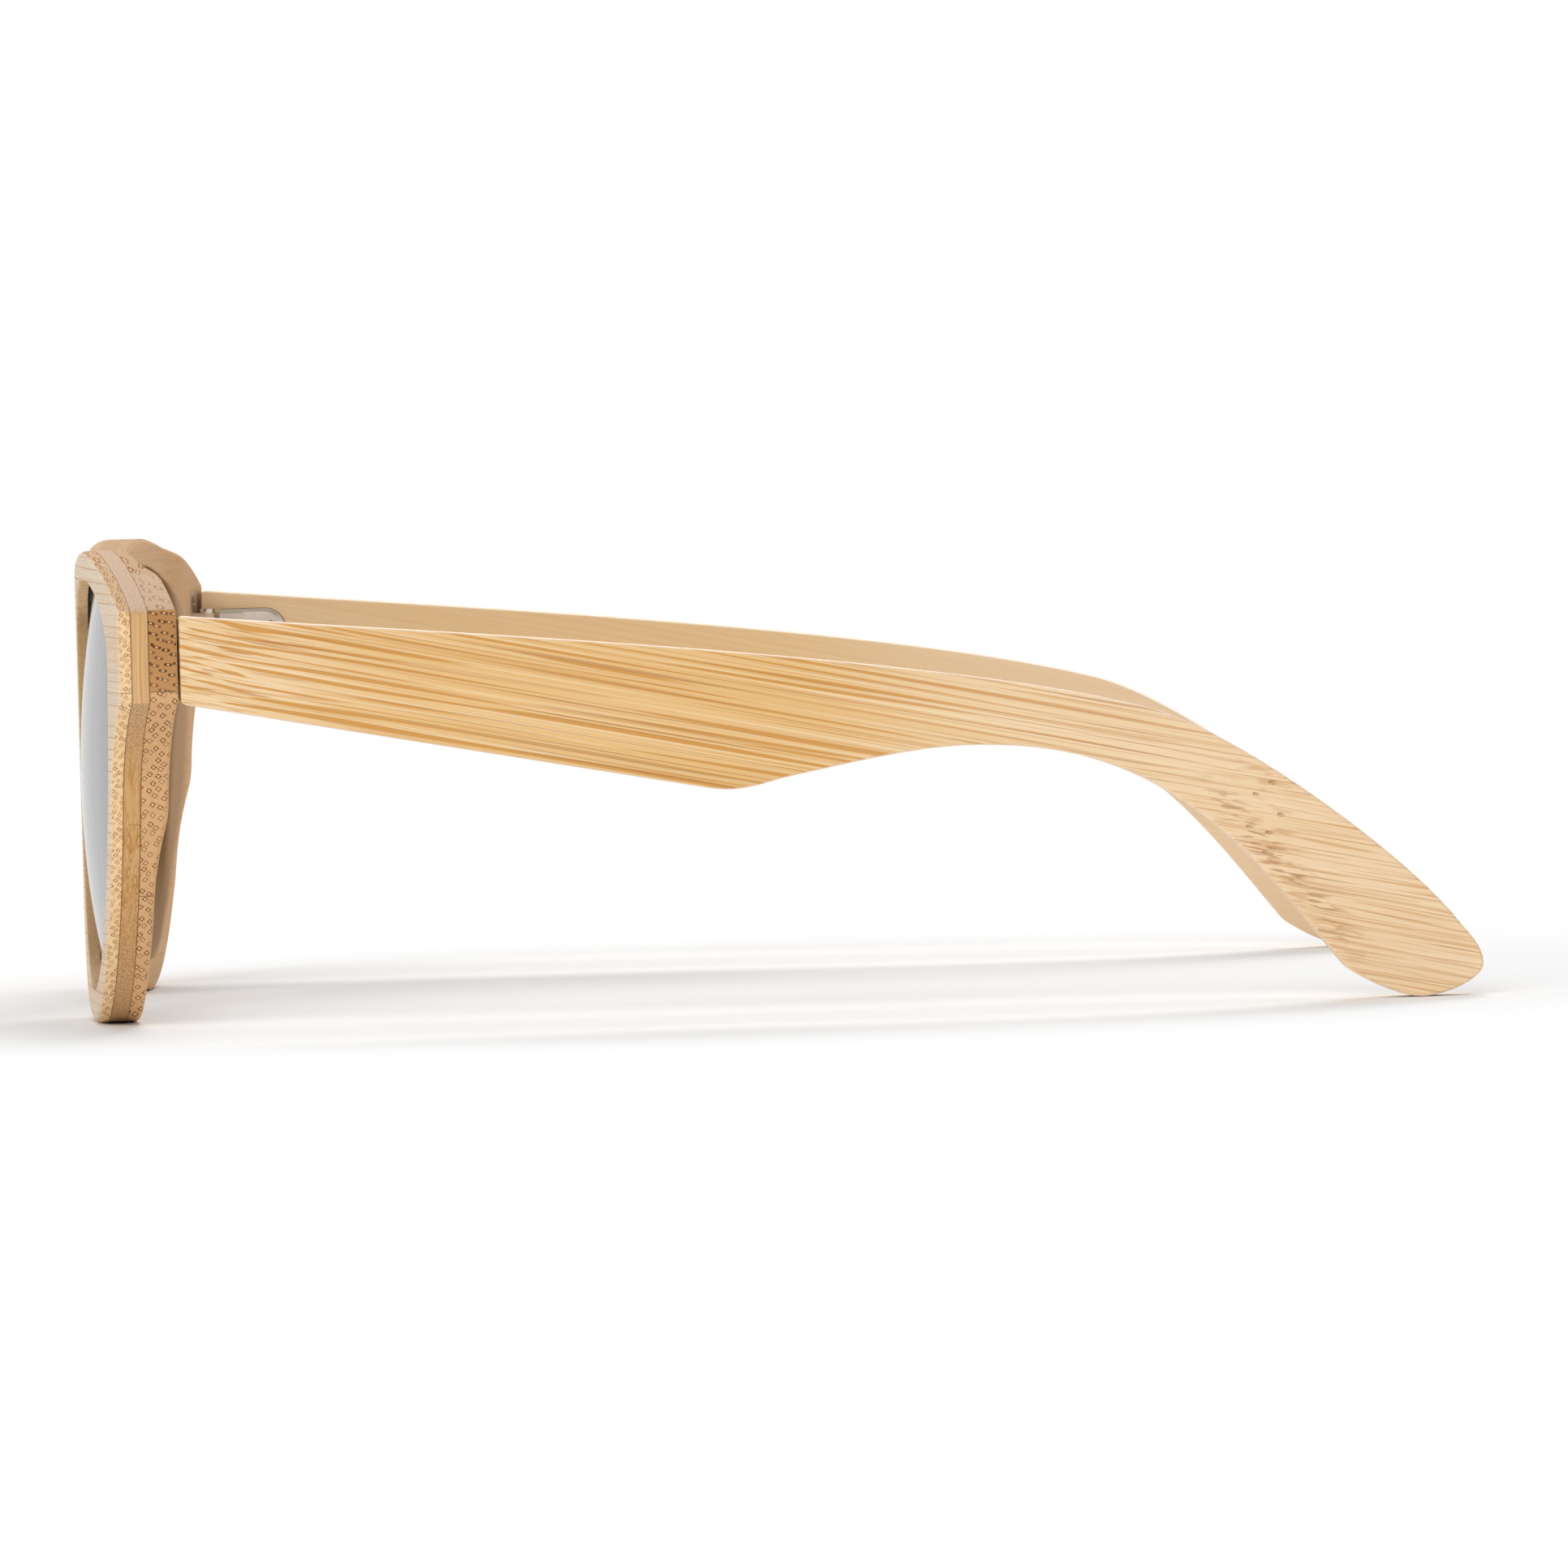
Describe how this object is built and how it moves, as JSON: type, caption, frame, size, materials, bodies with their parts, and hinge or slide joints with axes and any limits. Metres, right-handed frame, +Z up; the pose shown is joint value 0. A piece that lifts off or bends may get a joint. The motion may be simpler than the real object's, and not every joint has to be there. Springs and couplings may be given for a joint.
{
  "type": "wooden sunglasses",
  "caption": "Sunglasses with a bent, laminated bamboo front, domed grey lenses and curved bamboo temples that fold on small sprung hinges.",
  "frame": {"origin": "middle of the bounding box's underside, on the surface that the rims and temple tips stand on", "axes": "+X towards the wearer's left, +Y from the front back along the temples, +Z up"},
  "size_m": [0.14, 0.1514, 0.0513],
  "materials": {
    "bamboo_face": "sanded and oiled",
    "bamboo_core": "sanded and oiled",
    "bamboo_temple": "sanded and oiled",
    "lens_tint": "polished grey tint",
    "hinge_steel": "satin nickel",
    "screw_steel": "bright",
    "spring_wire": "drawn wire"
  },
  "bodies": {
    "front": {"front_ply": "bamboo_face", "core_ply": "bamboo_core", "rear_ply": "bamboo_face", "lens_left": "lens_tint", "lens_right": "lens_tint", "hinge_plate_left": "hinge_steel", "hinge_plate_right": "hinge_steel", "plate_screws_left": "screw_steel", "plate_screws_right": "screw_steel", "pivot_screw_left": "screw_steel", "pivot_screw_right": "screw_steel"},
    "left_slider": {"hinge_slider_left": "hinge_steel", "spring_collar_left": "hinge_steel", "hinge_spring_left": "spring_wire"},
    "left_temple": {"temple_left": "bamboo_temple", "spring_case_left": "hinge_steel", "case_screw_left": "screw_steel"},
    "right_slider": {"hinge_slider_right": "hinge_steel", "spring_collar_right": "hinge_steel", "hinge_spring_right": "spring_wire"},
    "right_temple": {"temple_right": "bamboo_temple", "spring_case_right": "hinge_steel", "case_screw_right": "screw_steel"}
  },
  "joints": [
    {"name": "left_fold", "type": "hinge", "parent": "front", "child": "left_slider", "pos_m": [0.0648, -0.06252, 0.04005], "axis": [0, 0, 1], "range_deg": [0, 87]},
    {"name": "left_spring", "type": "slide", "parent": "left_slider", "child": "left_temple", "axis": [-0.0698, 0.9976, 0], "range_m": [0, 0.001], "stiffness_N_per_m": 3000, "springref_m": -0.0005, "deforming": ["hinge_spring_left"]},
    {"name": "right_fold", "type": "hinge", "parent": "front", "child": "right_slider", "pos_m": [-0.0648, -0.06252, 0.04005], "axis": [0, 0, -1], "range_deg": [0, 79]},
    {"name": "right_spring", "type": "slide", "parent": "right_slider", "child": "right_temple", "axis": [0.0698, 0.9976, 0], "range_m": [0, 0.001], "stiffness_N_per_m": 3000, "springref_m": -0.0005, "deforming": ["hinge_spring_right"]}
  ]
}
